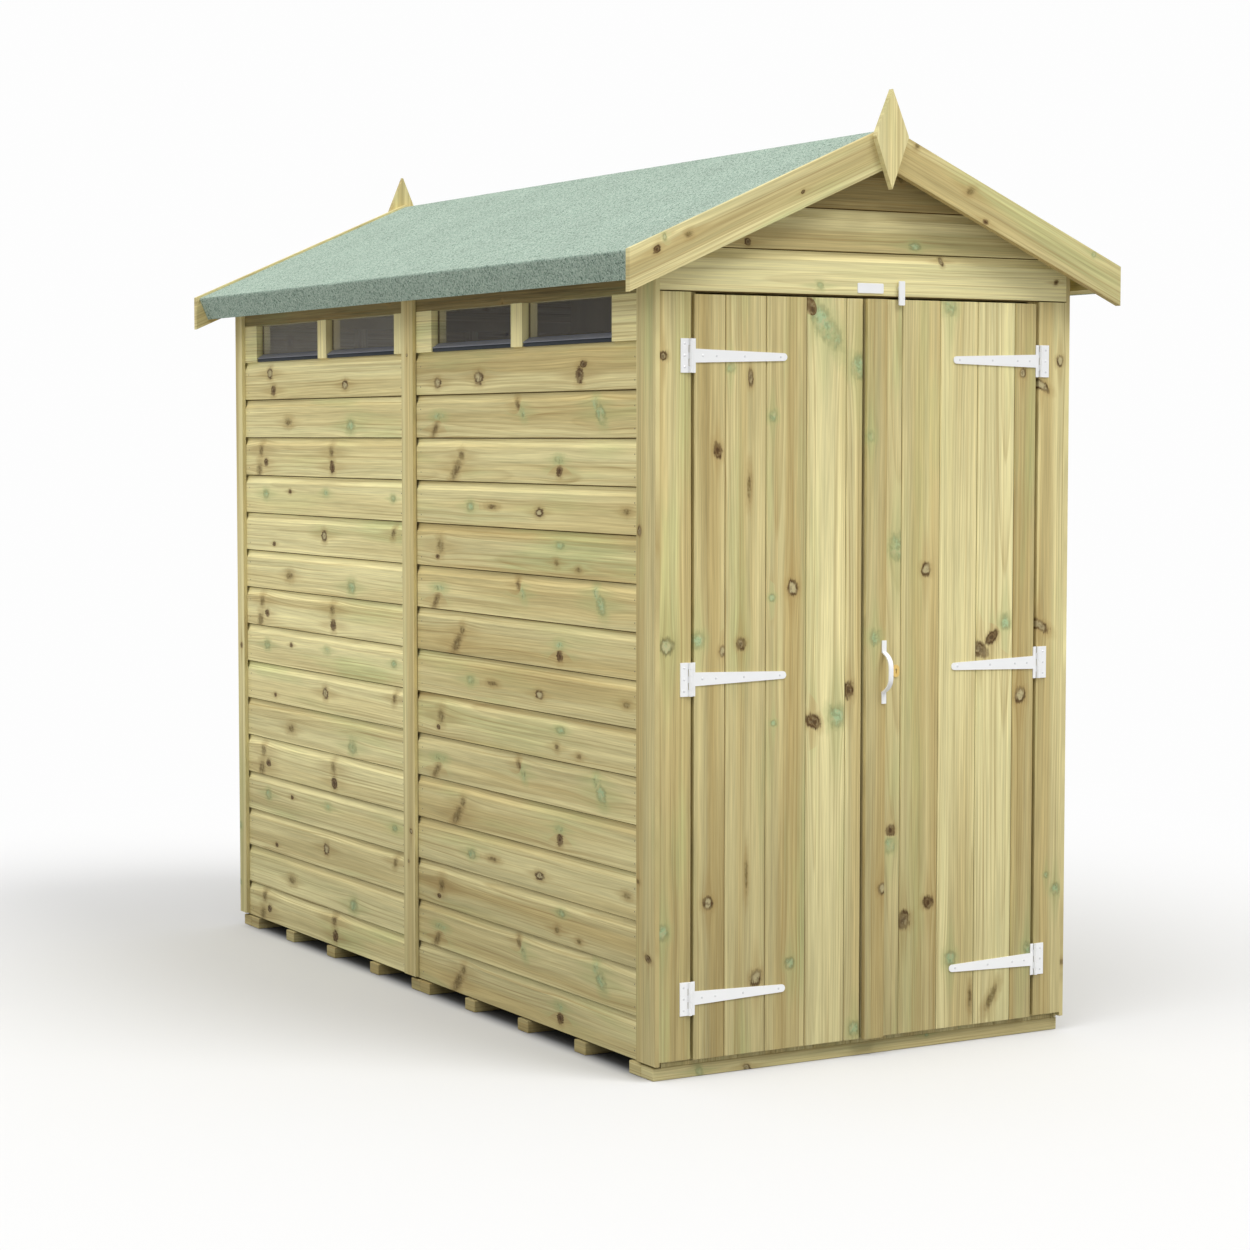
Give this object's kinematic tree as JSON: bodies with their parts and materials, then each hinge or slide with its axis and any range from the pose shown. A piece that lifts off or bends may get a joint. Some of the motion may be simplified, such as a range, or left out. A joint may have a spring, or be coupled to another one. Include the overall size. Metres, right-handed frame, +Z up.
{
  "type": "wooden garden shed",
  "caption": "Apex-roofed garden shed of shiplap pine boards with outward double doors, a row of high windows, a felted roof, bargeboards and finials.",
  "frame": {"origin": "on the ground, under the middle of the shed", "axes": "+Z up; the doors face -Y and the windows face -X; the ridge runs along Y"},
  "size_m": [1.414, 2.69, 2.3201],
  "materials": {
    "pine": "planed softwood with a green-tinted preservative, matt",
    "felt": "pale green mineral roofing felt, coarse granules",
    "white_metal": "white powder coat, satin",
    "sill_metal": "grey folded metal, satin",
    "glazing": "clear sheet in front of a dark interior",
    "brass": "bright brass"
  },
  "bodies": {
    "shed": {"floor_bearers": "pine", "floor_boards": "pine", "wall_studs": "pine", "wall_rails": "pine", "door_posts": "pine", "left_front_cladding": "pine", "left_rear_cladding": "pine", "right_front_cladding": "pine", "right_rear_cladding": "pine", "rear_cladding": "pine", "front_gable": "pine", "left_jamb": "pine", "right_jamb": "pine", "front_corner_strips": "pine", "rear_corner_strips": "pine", "left_cover_strip": "pine", "right_cover_strip": "pine", "window_posts": "pine", "left_eave_board": "pine", "left_roof_boards": "pine", "right_roof_boards": "pine", "eave_fascias": "pine", "roof_purlins": "pine", "front_bargeboards": "pine", "rear_bargeboards": "pine", "front_finial": "pine", "rear_finial": "pine", "roof_felt": "felt", "window_sills": "sill_metal", "front_window_panes": "glazing", "rear_window_panes": "glazing", "left_hinge_plates": "white_metal", "right_hinge_plates": "white_metal"},
    "left_door": {"left_door_boards": "pine", "left_door_ledges": "pine", "left_hinge_straps": "white_metal"},
    "right_door": {"right_door_boards": "pine", "right_door_ledges": "pine", "right_hinge_straps": "white_metal", "meeting_strip": "pine", "door_handle": "white_metal", "door_lock": "brass"},
    "turn_button": {"turn_button": "white_metal"}
  },
  "joints": [
    {"name": "left_door_hinge", "type": "hinge", "parent": "shed", "child": "left_door", "pos_m": [-0.508, -1.2678, 0.9375], "axis": [0, 0, -1], "range_deg": [0, 150]},
    {"name": "right_door_hinge", "type": "hinge", "parent": "shed", "child": "right_door", "pos_m": [0.508, -1.2678, 0.9375], "axis": [0, 0, 1], "range_deg": [0, 150]},
    {"name": "turn_button_pivot", "type": "hinge", "parent": "shed", "child": "turn_button", "pos_m": [0.082, -1.2633, 1.85804], "axis": [0, 1, 0], "range_deg": [-90, 90]}
  ]
}
